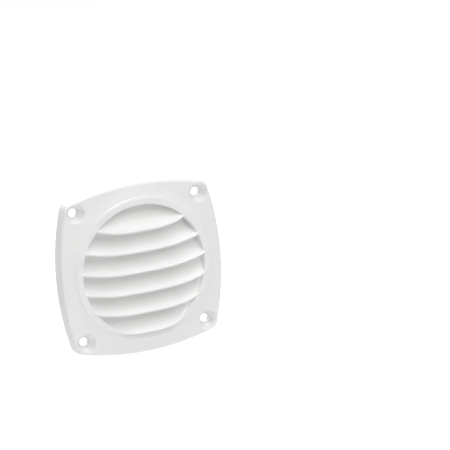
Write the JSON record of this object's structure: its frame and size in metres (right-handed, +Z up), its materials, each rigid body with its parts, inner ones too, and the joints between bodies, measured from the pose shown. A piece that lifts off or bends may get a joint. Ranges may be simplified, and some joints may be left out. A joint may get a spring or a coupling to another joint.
{
  "type": "round vent grille",
  "caption": "Square wall plate with bulging sides, a raised round rim and curved louvre slats across its opening, fixed by countersunk corner screws.",
  "frame": {"origin": "on the wall plane, behind the centre of the round opening", "axes": "+Y points into the wall, the louvres face -Y and shed rain downwards, +Z is up and +X is to the right as seen from the front"},
  "size_m": [0.086, 0.011, 0.086],
  "materials": {
    "white_plastic": "glossy white moulded plastic"
  },
  "bodies": {
    "root": {"vent_grille": "white_plastic"}
  },
  "joints": []
}
